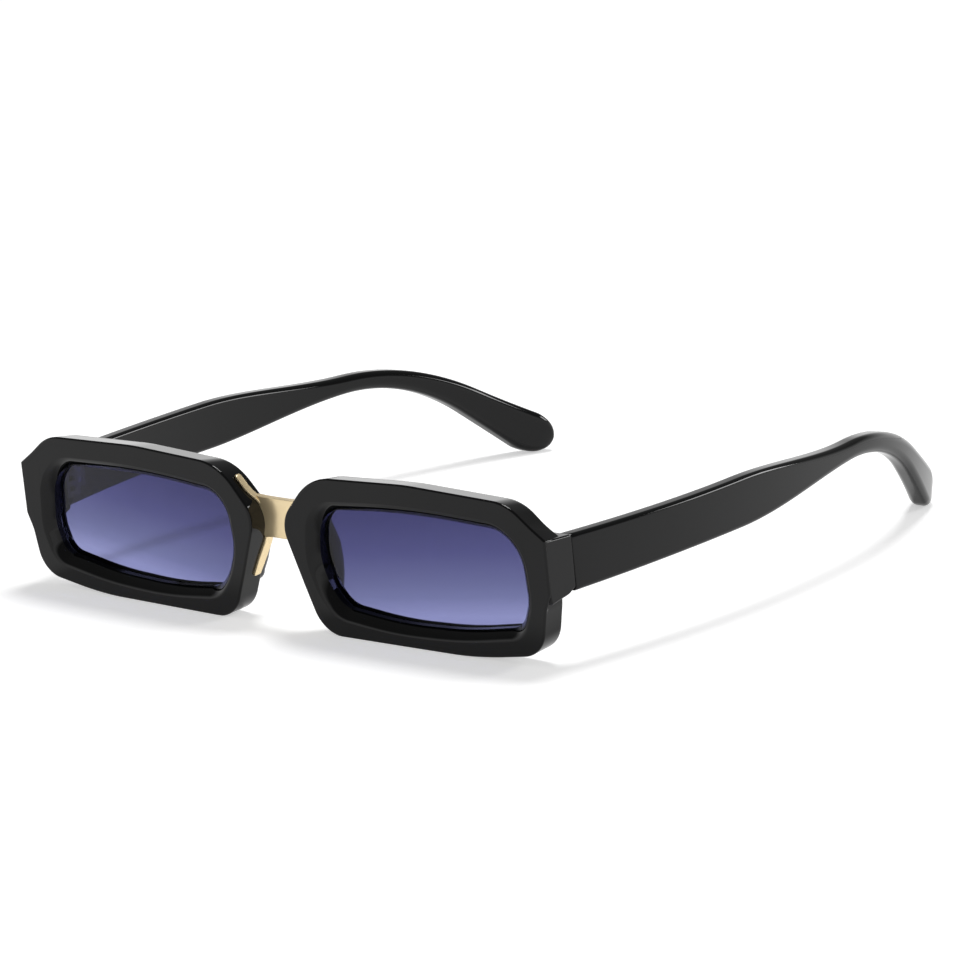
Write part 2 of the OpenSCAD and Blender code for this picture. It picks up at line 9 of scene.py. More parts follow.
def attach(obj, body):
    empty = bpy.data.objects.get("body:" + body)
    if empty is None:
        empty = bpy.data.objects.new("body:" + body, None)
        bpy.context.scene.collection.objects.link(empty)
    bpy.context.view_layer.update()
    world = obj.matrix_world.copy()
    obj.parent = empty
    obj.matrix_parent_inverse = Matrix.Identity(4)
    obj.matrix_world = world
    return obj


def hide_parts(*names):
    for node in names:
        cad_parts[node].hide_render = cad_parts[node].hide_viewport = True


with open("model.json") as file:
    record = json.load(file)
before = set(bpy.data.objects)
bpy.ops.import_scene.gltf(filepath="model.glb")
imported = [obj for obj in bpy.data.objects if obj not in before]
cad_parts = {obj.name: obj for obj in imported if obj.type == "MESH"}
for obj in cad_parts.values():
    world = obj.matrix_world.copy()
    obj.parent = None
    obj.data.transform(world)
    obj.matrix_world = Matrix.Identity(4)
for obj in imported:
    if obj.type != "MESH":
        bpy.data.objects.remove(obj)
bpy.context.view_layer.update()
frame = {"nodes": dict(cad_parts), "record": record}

mm = 0.001
nodes = frame["nodes"]


# Shader helpers

class Wire:
    # an output socket that takes part in sums
    def __init__(self, paint, socket):
        self.paint = paint
        self.socket = socket

    def sum(self, operation, a, b=0.0):
        return self.paint.node("ShaderNodeMath", {"operation": operation}, {0: a, 1: b})

    def __add__(self, other):
        return self.sum("ADD", self, other)

    def __radd__(self, other):
        return self.sum("ADD", other, self)

    def __sub__(self, other):
        return self.sum("SUBTRACT", self, other)

    def __rsub__(self, other):
        return self.sum("SUBTRACT", other, self)

    def __mul__(self, other):
        return self.sum("MULTIPLY", self, other)

    def __rmul__(self, other):
        return self.sum("MULTIPLY", other, self)

    def __truediv__(self, other):
        return self.sum("DIVIDE", self, other)

    def __rtruediv__(self, other):
        return self.sum("DIVIDE", other, self)

    def greatest(self, other):
        return self.sum("MAXIMUM", self, other)

    def length(self):
        return self.sum("ABSOLUTE", self)


class Paint:
    # one material, or the world, built from nodes
    def __init__(self, name=None, world=None):
        self.owner = world or bpy.data.materials.new(name)
        self.owner.use_nodes = True
        self.tree = self.owner.node_tree
        self.tree.nodes.clear()

    def node(self, kind, settings=None, sockets=None, output=0):
        made = self.tree.nodes.new(kind)
        for key, value in (settings or {}).items():
            if key == "stops":
                ramp = made.color_ramp
                while len(ramp.elements) < len(value):
                    ramp.elements.new(1.0)
                for element, (place, shade) in zip(ramp.elements, value):
                    element.position = place
                    element.color = (*shade, 1.0)
            else:
                setattr(made, key, value)
        for key, value in (sockets or {}).items():
            if isinstance(value, Wire):
                self.tree.links.new(value.socket, made.inputs[key])
            else:
                made.inputs[key].default_value = value
        return Wire(self, made.outputs[output])

    def noise(self, place, scale, detail=2.0):
        return self.node("ShaderNodeTexNoise", None, {
            "Vector": place, "Scale": scale, "Detail": detail})

    def finish(self, surface, kind="ShaderNodeOutputMaterial"):
        out = self.tree.nodes.new(kind)
        self.tree.links.new(surface.socket, out.inputs["Surface"])
        return self.owner


def colour(r, g, b):
    # sRGB 0-255 to the linear colour that nodes take
    return tuple((c / 255 / 12.92) if c <= 10 else ((c / 255 + 0.055) / 1.055) ** 2.4
                 for c in (r, g, b))


# The front's sizes, in mm: u across it, d into the head, v up it

frontSet = {
    "lean": 4.85,       # degrees that the top stands ahead of the foot
    "wrap": 1.68,       # degrees that each rim turns back
    "noseGap": 7.1,
    "width": 66.4,
    "height": 34.5,
    "depth": 6,
    "noseBar": 7.8,
    "topBar": 6.9,
    "outerBar": 5.95,
    "bottomBar": 4.4,
    "rollWide": 2.3,
    "rollDeep": 2,
    "rollCrisp": 0.12,  # how early the roll bends down at the top of the rim
    "rollWides": (1, 0.66, 0.22, 0),    # its curve's control points, as shares of its width
    "rollDeeps": (0, 0, 0.55, 1),       # and of its depth
    "crispLow": 6,      # height from which it grows crisp
    "crispLong": 20,    # and the height over which it does
    "band": 0.15,       # flat ring kept beside each rounded edge
    "grooveEdge": 0.05,
    "frontEdge": 0.45,
    "backEdge": 0.5,
    "lipEdge": 0.4,
    "topFall": 1.1,     # drop of the top face towards its back
    "footCut": 0.18,
    "wallDepths": (4.8, 4, 3.2, 2.4, 1.6, 0.85, 0.75, 0.65, 0.55),
    "arcSteps": 18,     # steps of each rounded corner
    "rollSteps": 10,
    "lipSteps": 4,
    "backSteps": 6,
    "frontSteps": 8,
}

blockSet = {
    "out": 1.1,
    "high": 11.2,
    "drop": 7.8,
    "back": 2.03,
    "slant": 0.5,
    "wide": 6.6,
    "fallTop": 0.85,    # fall of its top, front to back
    "lowest": 13.4,     # height of its lower edge behind the front edge
    "stepLong": 0.4,    # depth over which that edge is reached
    "climb": 0.7,       # rise of that edge up to the rim's back
    "fallFoot": 0.9,    # and behind the rim
    "edge": 0.2,
    "root": 3.5,        # its reach into the rim
    "wallFoot": 12.6,   # height at which its front runs into the rim's side
    "spread": 5.4,      # depth from which it widens to its own width
    "slopeFall": 0.45,  # fall of the rim's outline, front to back, at the foot of its upper slope
    "headFall": 1.05,   # and beside the block
    "heelStep": 1.15,   # how far that outline steps in under the block
    "arcSteps": 6,
}

lensSet = {
    "thick": 1.8,
    "set": 3.4,
    "seat": 0.75,       # reach into the groove
    "play": 0.05,
    "edge": 0.06,
}

lean = math.radians(frontSet["lean"])
wrap = math.radians(frontSet["wrap"])
rimIn = frontSet["noseGap"] / 2
rimWide = frontSet["width"]
rimHigh = frontSet["height"]
rimDeep = frontSet["depth"]
rimOut = rimIn + rimWide
blockU = rimOut + blockSet["out"]
blockTop = rimHigh - blockSet["drop"]
blockLow = blockTop - blockSet["high"]
blockBack = rimDeep + blockSet["back"]
footDrop = ((0.3 * rimWide * math.sin(wrap) + frontSet["frontEdge"]) * math.sin(lean)
            + frontSet["footCut"])

# corners of the rim's outline and of its opening, clockwise from the nose: u, v, radius and,
# where it isn't 0.49, the greatest share of a side that the rounding takes
outerOutline = [
    (rimIn, 0.67 * rimHigh, 6.9),           # the bridge's corner
    (rimIn + 8.8, rimHigh - 1, 12.3),
    (rimIn + rimWide / 2, rimHigh, 63),
    (rimOut - 7.8, rimHigh - 1, 16),
    (rimOut - 2.35, rimHigh - 5.35, 20),
    (blockU, blockTop, 0.3),                # the end block
    (blockU, blockLow, 2),
    (rimOut - 0.3, blockLow - 3.4, 8),
    (rimOut - 2, 2.6, 11),
    (rimOut - 0.285 * rimWide, 0, 98),
    (rimIn + 0.413 * rimWide, -0.05, 90),
    (rimIn + 8.6, 0, 10.7),
    (rimIn + 4.75, 0.29 * rimHigh, 60),
]

holeIn = rimIn + frontSet["noseBar"]
holeOut = rimOut - frontSet["outerBar"]
holeTop = rimHigh - frontSet["topBar"]
holeLow = frontSet["bottomBar"]
openingOutline = [
    (holeIn + 0.3, 0.45 * rimHigh, 40),     # the nose side
    (holeIn + 1.65, holeTop - 1.3, 9),
    (rimIn + 0.49 * rimWide, holeTop + 0.5, 200),
    (holeOut - 0.8, holeTop - 0.7, 8.3, 0.78),
    (holeOut + 0.2, 0.42 * rimHigh, 50),    # the bowed outer side
    (holeOut + 0.17, 0.4 * rimHigh, 50),
    (holeOut + 0.1, 0.38 * rimHigh, 50),
    (holeOut, 0.357 * rimHigh, 30),
    (holeOut - 1.7, holeLow + 3, 5.5),
    (rimOut - 0.33 * rimWide, holeLow + 0.55, 90),
    (rimIn + 0.413 * rimWide, holeLow - 0.1, 90),
    (holeIn + 5.65, holeLow + 1.5, 6),
    (holeIn + 2.55, 0.28 * rimHigh, 14),
]


def smooth(t):
    # from 0 to 1 with soft ends
    t = min(1, max(0, t))
    return t * t * (3 - 2 * t)


def mixed(a, b, t):
    # the value a share t of the way from a to b
    return a + (b - a) * t


def quarter(steps):
    # angles of a quarter turn
    return [math.pi / 2 * i / steps for i in range(steps + 1)]


def rounded(outline, steps=frontSet["arcSteps"]):
    # points of an outline with its corners rounded
    points = []
    count = len(outline)
    for i, q in enumerate(outline):
        corner = Vector(q[:2])
        before = Vector(outline[i - 1][:2]) - corner
        after = Vector(outline[(i + 1) % count][:2]) - corner
        half = before.angle(after) / 2
        share = q[3] if len(q) > 3 else 0.49
        run = min(q[2] / math.tan(half), share * before.length, share * after.length)
        before.normalize()
        after.normalize()
        centre = corner + (before + after).normalized() * run / math.cos(half)
        start = corner + before * run - centre
        end = corner + after * run - centre
        turn = math.atan2(start.cross(end), start.dot(end))
        for k in range(steps + 1):
            c, s = math.cos(turn * k / steps), math.sin(turn * k / steps)
            points.append((centre.x + start.x * c - start.y * s,
                           centre.y + start.x * s + start.y * c))
    return points


def grown(outline, reach):
    # the outline moved out by a reach, or in by a negative one
    moved = []
    count = len(outline)
    for i, q in enumerate(outline):
        along = (Vector(q[:2]) - Vector(outline[i - 1][:2])).normalized()
        after = (Vector(outline[(i + 1) % count][:2]) - Vector(q[:2])).normalized()
        outA = Vector((-along.y, along.x))
        outB = Vector((-after.y, after.x))
        bulge = 1 if along.cross(after) < 0 else -1
        place = Vector(q[:2]) + (outA + outB) * (reach / (1 + outA.dot(outB)))
        moved.append((place.x, place.y, max(0.05, q[2] + bulge * reach), *q[3:]))
    return moved


def outlineAt(depth):
    # the outer outline at a depth, with the fall of its top and the step under its end block
    slopeFoot, blockHead, blockHeel = 4, 5, 6       # corners of the outline that move
    edge = frontSet["frontEdge"]
    fall = max(0, depth - edge) / (rimDeep - edge)
    step = smooth((depth - edge) / blockSet["stepLong"])
    line = [list(corner) for corner in outerOutline]
    for corner in line:
        if corner[1] > 0.8 * rimHigh:
            corner[1] -= frontSet["topFall"] * fall
    line[slopeFoot][1] -= blockSet["slopeFall"] * fall
    line[blockHead][1] -= blockSet["headFall"] * fall
    line[blockHeel][0] -= blockSet["heelStep"] * step
    return line


# The temples' sizes, in mm: s along them from the seam

templeSet = {
    "shaftLong": 94.5,
    "rise": 2.1,
    "bendRadius": 57,
    "tipDrop": 33.5,
    "tipLong": 16.3,
    "capLong": 6.8,
    "rootHigh": 11.7,
    "shaftHigh": 10.55,
    "waistHigh": 4.05,
    "tipHigh": 9.15,
    "broadLong": 51,
    "waistLong": 96,
    "rootThick": 3.6,
    "tipThick": 5.6,
    "middle": 19.9,     # height of its middle at the seam
    "shaftEdge": 1,
    "tipEdge": 2,
    "rootEdge": 0.2,
    "splay": 0.152,
    "bowRadius": 326,
    "curlRadius": 133,
    "curlStart": 102,
    "fadeLong": 20,     # length over which the seam's slant fades
    "seamGap": 0.12,
    "swellStart": 40,   # where the temple begins to grow thicker
    "swellLong": 95,
    "capBulge": 2.1,    # powers of the round end's curve, seen from the side and from above
    "capPinch": 3,
    "capSteps": 18,
    "edgeSteps": 7,
}


def leaned(u, d, v):
    # a point of the front before the depth is centred
    across = u * math.sin(wrap) + d * math.cos(wrap)
    return (u * math.cos(wrap) - d * math.sin(wrap),
            across * math.cos(lean) - v * math.sin(lean),
            across * math.sin(lean) + v * math.cos(lean) - footDrop)


rise = math.radians(templeSet["rise"])
tipDrop = math.radians(templeSet["tipDrop"])
bendRadius = templeSet["bendRadius"]
shaftLong = templeSet["shaftLong"]
bendLong = bendRadius * (rise + tipDrop)
pathLong = shaftLong + bendLong + templeSet["tipLong"]
seam = leaned(blockU + blockSet["slant"], blockBack + templeSet["seamGap"], templeSet["middle"])
bendY = seam[1] + shaftLong * math.cos(rise)
bendZ = seam[2] + shaftLong * math.sin(rise)
tailY = bendY + bendRadius * (math.sin(rise) + math.sin(tipDrop))
tailZ = bendZ - bendRadius * (math.cos(rise) - math.cos(tipDrop))

# the middle of the depth is at Y = 0
frontMost = ((rimIn + 0.3 * rimWide) * math.sin(wrap) * math.cos(lean)
             - (rimHigh - frontSet["frontEdge"]) * math.sin(lean))
backMost = (tailY + templeSet["tipLong"] * math.cos(tipDrop)
            + math.hypot(templeSet["capLong"] * math.cos(tipDrop),
                         templeSet["tipHigh"] * math.sin(tipDrop) / 2))
shiftBack = -(frontMost + backMost) / 2


def placed(u, d, v):
    # a point of the front in the frame, in metres, kept above the floor
    x, y, z = leaned(u, d, v)
    return (x * mm, (y + shiftBack) * mm, max(0, z) * mm)


def slope(s):
    # rise of the temple at s
    if s < shaftLong:
        return rise
    if s < shaftLong + bendLong:
        return rise - (s - shaftLong) / bendRadius
    return -tipDrop


def way(s):
    # place in Y and Z of the temple's middle line at s
    if s < shaftLong:
        return seam[1] + s * math.cos(rise), seam[2] + s * math.sin(rise)
    if s < shaftLong + bendLong:
        return (bendY + bendRadius * (math.sin(rise) - math.sin(slope(s))),
                bendZ - bendRadius * (math.cos(rise) - math.cos(slope(s))))
    t = s - shaftLong - bendLong
    return tailY + t * math.cos(tipDrop), tailZ - t * math.sin(tipDrop)


def templeX(y):
    # the outer face in plan: splay, bow and the curl of the tip
    bow = templeSet["bowRadius"]
    t = y - seam[1]
    c = max(0, t - templeSet["curlStart"])
    return (seam[0] + templeSet["splay"] * t - t * t / (2 * bow)
            - c * c * (1 / templeSet["curlRadius"] - 1 / bow) / 2)


def capScale(s, power):
    # 1 along the temple, then down to 0 over its round end
    e = max(0, s - pathLong) / templeSet["capLong"]
    return max(0, 1 - e ** power) ** (1 / power)


def templeHigh(s):
    # height of the section at s: broad shaft, waist, tip and round end
    broad, waist = templeSet["broadLong"], templeSet["waistLong"]
    root, shaft = templeSet["rootHigh"], templeSet["shaftHigh"]
    slim, tip = templeSet["waistHigh"], templeSet["tipHigh"]
    if s < broad:
        high = root - (root - shaft) * math.sin(math.pi / 2 * s / broad)
    elif s < waist:
        high = shaft - (shaft - slim) * smooth((s - broad) / (waist - broad))
    else:
        high = slim + (tip - slim) * min(1, (s - waist) / (pathLong - waist)) ** 2
    return high * capScale(s, templeSet["capBulge"])


def swell(s):
    # share of the tip's thickness and rounding reached at s
    return smooth((s - templeSet["swellStart"]) / templeSet["swellLong"])


def templeThick(s):
    return mixed(templeSet["rootThick"], templeSet["tipThick"], swell(s))


def templePoint(s, h, inward):
    # s along the temple, h up its section, in from its outer face
    fade = max(0, 1 - s / templeSet["fadeLong"])
    tilt = slope(s) + (lean - rise) * fade
    y = way(s)[0] - h * math.sin(tilt) - inward * math.tan(wrap) * fade
    z = way(s)[1] + h * math.cos(tilt)
    return ((templeX(y) - inward) * mm, (y + shiftBack) * mm, max(0, z) * mm)


# Mesh helpers

def makePiece(name, rings, closed, finish, body, mirror, stands, sharp=32):
    # a skin through rings of points, where a closed one joins its last ring to its first
    weld = 1e-7
    size = len(rings[0])
    count = len(rings)
    points = [p for ring in rings for p in ring]
    faces = []
    for i in range(count if closed else count - 1):
        for j in range(size):
            k = (j + 1) % size
            nextRing = (i + 1) % count
            faces.append((i * size + j, nextRing * size + j, nextRing * size + k, i * size + k))
    if not closed:
        faces.append(tuple(range(size)))
        faces.append(tuple((count - 1) * size + j for j in range(size)))
    if mirror:
        points = [(-x, y, z) for x, y, z in points]
    mesh = bpy.data.meshes.new(name)
    mesh.from_pydata(points, [], faces)
    edit = bmesh.new()
    edit.from_mesh(mesh)
    bmesh.ops.remove_doubles(edit, verts=edit.verts, dist=weld)
    bmesh.ops.dissolve_degenerate(edit, edges=edit.edges, dist=weld)
    bmesh.ops.recalc_face_normals(edit, faces=edit.faces)
    edit.to_mesh(mesh)
    edit.free()
    for face in mesh.polygons:
        face.use_smooth = True
    mesh.set_sharp_from_angle(angle=math.radians(sharp))
    piece = bpy.data.objects.new(name, mesh)
    bpy.context.collection.objects.link(piece)
    shading = piece.modifiers.new("faceNormals", "WEIGHTED_NORMAL")
    shading.keep_sharp = True
    shading.weight = 80
    mesh.materials.append(finish)
    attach(piece, body)
    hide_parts(*stands)


# Camera

cameraSet = {
    "place": (668.9, -737.5, 259.6),    # in mm, before the depth is centred
    "right": (0.7742, 0.6316, -0.0416),
    "up": (-0.1116, 0.2008, 0.9732),
    "focal": 5030.3,    # in pixels of the picture
    "picture": 960,
    "sensor": 36,
    "clip": (0.05, 20),
}


def makeCamera():
    data = bpy.data.cameras.new("camera")
    data.sensor_width = cameraSet["sensor"]
    data.sensor_height = cameraSet["sensor"]
    data.sensor_fit = "HORIZONTAL"
    data.lens = cameraSet["sensor"] * cameraSet["focal"] / cameraSet["picture"]
    data.clip_start, data.clip_end = cameraSet["clip"]
    camera = bpy.data.objects.new("camera", data)
    right = Vector(cameraSet["right"]).normalized()
    up = Vector(cameraSet["up"])
    up = (up - up.dot(right) * right).normalized()
    turn = Matrix((right, up, right.cross(up))).transposed()
    x, y, z = cameraSet["place"]
    camera.matrix_world = Matrix.Translation(Vector((x, y + shiftBack, z)) * mm) @ turn.to_4x4()
    bpy.context.collection.objects.link(camera)
    bpy.context.scene.camera = camera


makeCamera()
print("camera placed")


# Floor, world and lamps

lightSet = {
    "floorColour": (0.8, 0.8, 0.8),
    "floorGlow": 0.5,      # added where the camera or a lens sees the floor
    "mirrorGlow": 0.38,    # added where a gloss reflects it
    "floorSize": 12,
    "floorSunk": 0.00002,  # keeps it just clear of the feet
    "skyLow": 1.25,        # strength near the horizon
    "skyHigh": 0.2,        # and overhead
    "topPlace": (-0.1, 0.35, 1.3),
    "topPower": 10.5,
    "topSize": 0.45,
    "stripPlace": (0.8, 1.2, 0.67),
    "stripPower": 6,
    "stripSize": (0.6, 0.3),
}


def makeFloor():
    place = (0, 0, -lightSet["floorSunk"])
    bpy.ops.mesh.primitive_plane_add(size=lightSet["floorSize"], location=place)
    floor = bpy.context.object
    floor.name = "floor"
    paint = Paint("studioFloor")
    camera = paint.node("ShaderNodeLightPath", output="Is Camera Ray")
    glossy = paint.node("ShaderNodeLightPath", output="Is Glossy Ray")
    through = paint.node("ShaderNodeLightPath", output="Is Transmission Ray")
    glow = paint.node("ShaderNodeEmission", None, {
        "Color": (1, 1, 1, 1),
        "Strength": (camera.greatest(through) * lightSet["floorGlow"]).greatest(
            glossy * lightSet["mirrorGlow"])})
    matt = paint.node("ShaderNodeBsdfDiffuse", None, {"Color": (*lightSet["floorColour"], 1)})
    both = paint.node("ShaderNodeAddShader", None, {0: matt, 1: glow})
    floor.data.materials.append(paint.finish(both))


def makeWorld():
    world = bpy.data.worlds.new("studio")
    bpy.context.scene.world = world
    paint = Paint(world=world)
    where = paint.node("ShaderNodeTexCoord", output="Generated")
    height = paint.node("ShaderNodeSeparateXYZ", None, {0: where}, output="Z")
    low, high = (lightSet["skyLow"],) * 3, (lightSet["skyHigh"],) * 3
    sky = paint.node("ShaderNodeValToRGB", {"stops": [
        (0.0, low), (0.14, low), (0.4, high), (1.0, high)]}, {0: height})
    paint.finish(paint.node("ShaderNodeBackground", None, {"Color": sky, "Strength": 1.0}),
                 "ShaderNodeOutputWorld")


def makeLamp(name, shape, place, aim, size, power):
    data = bpy.data.lights.new(name, "AREA")
    data.shape = shape
    data.size, data.size_y = size
    data.energy = power
    lamp = bpy.data.objects.new(name, data)
    lamp.location = place
    lamp.rotation_euler = (Vector(aim) - Vector(place)).to_track_quat("-Z", "Y").to_euler()
    bpy.context.collection.objects.link(lamp)


bpy.context.scene.view_settings.view_transform = "Standard"
makeFloor()
makeWorld()
makeLamp("overhead", "DISK", lightSet["topPlace"], (0, 0, 0), (lightSet["topSize"],) * 2,
         lightSet["topPower"])
makeLamp("backStrip", "RECTANGLE", lightSet["stripPlace"], (0, 0, 0), lightSet["stripSize"],
         lightSet["stripPower"])
print("studio set")


# Finishes

acetateSet = {
    "black": (5, 6, 6),
    "cloud": (9, 9, 11),
    "sheen": (0.03, 0.07),      # least and greatest roughness
    "ior": 1.33,
    "rimStretch": (60, 1500, 500),      # scale of the streaks along X, Y and Z
    "templeStretch": (1200, 40, 900),
}


def acetateFinish(name, stretch):
    # polished black with faint streaks along its length
    paint = Paint(name)
    where = paint.node("ShaderNodeTexCoord", output="Object")
    stretched = paint.node("ShaderNodeMapping", None, {"Vector": where, "Scale": stretch})
    streaks = paint.noise(stretched, 1.0, 3.0)
    cloud = paint.noise(where, 60.0)
    body = paint.node("ShaderNodeValToRGB", {"stops": [
        (0.35, colour(*acetateSet["black"])), (0.75, colour(*acetateSet["cloud"]))]}, {0: cloud})
    least, greatest = acetateSet["sheen"]
    return paint.finish(paint.node("ShaderNodeBsdfPrincipled", None, {
        "Base Color": body,
        "Roughness": least + streaks * (greatest - least),
        "IOR": acetateSet["ior"],
    }))


tintSet = {
    # height in mm and colour seen through the lens there
    "stops": [(5, (129, 133, 180)), (9, (101, 105, 150)), (12, (88, 91, 136)),
              (18.5, (65, 66, 115)), (26, (48, 48, 96))],
    "middle": 30,       # distance of a lens's middle from the nose, in mm
    "tilt": 0.13,       # how far the shades fall outwards
    "ior": 1.36,
}


def tintFinish():
    # clear tint that grows paler downwards and outwards
    paint = Paint("tintedLens")
    where = paint.node("ShaderNodeTexCoord", output="Object")
    height = paint.node("ShaderNodeSeparateXYZ", None, {0: where}, output="Z")
    across = paint.node("ShaderNodeSeparateXYZ", None, {0: where}, output="X")
    lifted = height - (across.length() - tintSet["middle"] * mm) * tintSet["tilt"]
    low, high = tintSet["stops"][0][0], tintSet["stops"][-1][0]
    tint = paint.node("ShaderNodeValToRGB", {"stops": [
        ((at - low) / (high - low), colour(*shade)) for at, shade in tintSet["stops"]
    ]}, {0: (lifted / mm - low) / (high - low)})
    return paint.finish(paint.node("ShaderNodeBsdfPrincipled", None, {
        "Base Color": tint,
        "Roughness": 0.0,
        "IOR": tintSet["ior"],
        "Transmission Weight": 1.0,
    }))


# base colour, least and greatest roughness, and share of metal
metalSet = {
    "paleGold": ((255, 232, 186), 0.2, 0.27, 0.7),
    # the hinges' dark grey is painted shade for their place behind the rims, not a colour of their own
    "hingeShadedMetal": ((112, 108, 100), 0.12, 0.2, 1.0),
    "brightSteel": ((150, 152, 158), 0.2, 0.3, 1.0),
}


def metalFinish(name):
    # polished metal with a grain too fine to see one by one
    paint = Paint(name)
    base, least, greatest, metallic = metalSet[name]
    grain = paint.noise(paint.node("ShaderNodeTexCoord", output="Object"), 2500.0)
    return paint.finish(paint.node("ShaderNodeBsdfPrincipled", None, {
        "Base Color": (*colour(*base), 1),
        "Metallic": metallic,
        "Roughness": least + grain * (greatest - least),
    }))


padFinishSet = {
    "dark": (14, 14, 15),
    "pale": (24, 24, 26),
    "sheen": (0.08, 0.16),
    "ior": 1.45,
}


def padFinish():
    paint = Paint("padAcetate")
    cloud = paint.noise(paint.node("ShaderNodeTexCoord", output="Object"), 300.0)
    body = paint.node("ShaderNodeValToRGB", {"stops": [
        (0.3, colour(*padFinishSet["dark"])), (0.8, colour(*padFinishSet["pale"]))]}, {0: cloud})
    least, greatest = padFinishSet["sheen"]
    return paint.finish(paint.node("ShaderNodeBsdfPrincipled", None, {
        "Base Color": body,
        "Roughness": least + cloud * (greatest - least),
        "IOR": padFinishSet["ior"],
    }))


rimAcetate = acetateFinish("rimAcetate", acetateSet["rimStretch"])
templeAcetate = acetateFinish("templeAcetate", acetateSet["templeStretch"])
tint = tintFinish()
pad = padFinish()
gold = metalFinish("paleGold")
hingeShadedMetal = metalFinish("hingeShadedMetal")
steel = metalFinish("brightSteel")

finishes = {"acetate": rimAcetate, "tint": tint, "gold": gold, "steel": steel, "pad": pad}
for entry in frame["record"]["subparts"]:
    part = nodes[entry["node"]]
    part.data.materials.clear()
    # the hinges take a metal darker than the bridge's gold; the darkness is painted shade for where
    # they sit behind the rims and lenses
    hinge = entry["node"].startswith("hinge") and entry["material_slot"] == "gold"
    part.data.materials.append(hingeShadedMetal if hinge else finishes[entry["material_slot"]])
print("finishes made")


# Rims, each with its end block

def rimProfile():
    # rings of a rim: outline, reach beyond it, depth, and what the roll's upper part adds to it
    edge, back, lip = frontSet["frontEdge"], frontSet["backEdge"], frontSet["lipEdge"]
    wide, deep, band = frontSet["rollWide"], frontSet["rollDeep"], frontSet["band"]
    grooveFront = lensSet["set"] - lensSet["play"]
    grooveBack = lensSet["set"] + lensSet["thick"] + lensSet["play"]
    reach, corner = lensSet["seat"] + lensSet["play"], frontSet["grooveEdge"]
    rows = [(openingOutline, wide + band, 0, 0), (openingOutline, wide + 0.02, 0, 0)]
    # the roll, a cubic curve
    for i in range(frontSet["rollSteps"] + 1):
        t = i / frontSet["rollSteps"]
        shares = ((1 - t) ** 3, 3 * t * (1 - t) ** 2, 3 * t * t * (1 - t), t ** 3)
        across = sum(share * place for share, place in zip(shares, frontSet["rollWides"]))
        into = sum(share * place for share, place in zip(shares, frontSet["rollDeeps"]))
        rows.append((openingOutline, wide * across, deep * into,
                     deep * frontSet["rollCrisp"] * shares[1]))
    # the opening's wall and the lens's groove
    rows += [(openingOutline, out, depth, 0) for out, depth in (
        (0, deep + 0.12),
        (0, grooveFront - corner),
        (corner, grooveFront),
        (reach, grooveFront),
        (reach, grooveBack),
        (corner, grooveBack),
        (0, grooveBack + corner),
        (0, rimDeep - lip),
    )]
    # the opening's back edge
    for a in quarter(frontSet["lipSteps"])[1:]:
        rows.append((openingOutline, lip * (1 - math.cos(a)), rimDeep - lip + lip * math.sin(a), 0))
    rows.append((outlineAt(rimDeep), -back - band, rimDeep, 0))
    # the outer back edge and the outer wall
    for a in quarter(frontSet["backSteps"]):
        depth = rimDeep - back + back * math.cos(a)
        rows.append((outlineAt(depth), -back * (1 - math.sin(a)), depth, 0))
    rows += [(outlineAt(depth), 0, depth, 0) for depth in frontSet["wallDepths"]]
    # the outer front edge
    for a in quarter(frontSet["frontSteps"]):
        rows.append((outerOutline, -edge * (1 - math.cos(a)), edge - edge * math.sin(a), 0))
    rows.append((outerOutline, -edge - band, 0, 0))
    return rows


def rimRings():
    low, run = frontSet["crispLow"], frontSet["crispLong"]
    return [[placed(u, depth + more * smooth((v - low) / run), v)
             for u, v in rounded(grown(outline, reach))]
            for outline, reach, depth, more in rimProfile()]


def blockRings():
    # the end block, from inside the rim's front edge to the seam: rows of depth and inset
    edge, front = blockSet["edge"], frontSet["frontEdge"]
    rows = [(0.15, 0.5), (0.3, 0.25), (front, 0.02), (0.55, 0), (0.65, 0), (0.75, 0), (0.85, 0)]
    rows += [(0.5 * i, 0) for i in range(3, 11)]
    rows += [(5.45, 0), (5.7, 0), (rimDeep, 0), (7, 0)]
    rows += [(blockBack - edge * (1 - math.sin(a)), edge * (1 - math.cos(a)))
             for a in (0, 0.4, 0.8, 1.2, math.pi / 2)]
    rings = []
    for depth, inset in rows:
        step = smooth((depth - front) / blockSet["stepLong"])
        behind = smooth((depth - blockSet["spread"]) / (rimDeep - blockSet["spread"]))
        outer = blockU + blockSet["slant"] * max(0, depth - front) / (blockBack - front)
        inner = mixed(blockU - blockSet["root"],
                      blockU + blockSet["slant"] - blockSet["wide"], behind)
        top = blockTop - blockSet["fallTop"] * depth / blockBack
        lowest = blockSet["lowest"] + blockSet["climb"] * min(depth, rimDeep) / rimDeep
        low = mixed(blockLow, lowest, step)
        low += blockSet["fallFoot"] * max(0, depth - rimDeep) / blockSet["back"]
        wall = mixed(blockSet["wallFoot"], low - 0.15, step)
        shape = [
            (outer, top, 0.5),
            (outer, low, mixed(2, 0.35, step)),
            (mixed(rimOut - 0.17, rimOut - 1.2, behind), mixed(wall, low - 0.01, behind), 0.5),
            (mixed(rimOut - 0.35, rimOut - 1.6, behind), mixed(wall - 0.9, low, behind), 0.1),
            (inner, mixed(wall - 0.9, low, behind), 0.3),
            (inner, top, 0.3),
        ]
        line = rounded(grown(shape, -inset), blockSet["arcSteps"])
        rings.append([placed(u, depth, v) for u, v in line])
    return rings


for side in ("left", "right"):
    mirror = side == "right"
    makePiece(f"rimShell_{side}", rimRings(), True, rimAcetate, "front", mirror,
              [f"rim_{side}"], sharp=14)
    makePiece(f"endBlock_{side}", blockRings(), False, rimAcetate, "front", mirror,
              [f"rim_{side}"])
print("rims made")


# Lenses

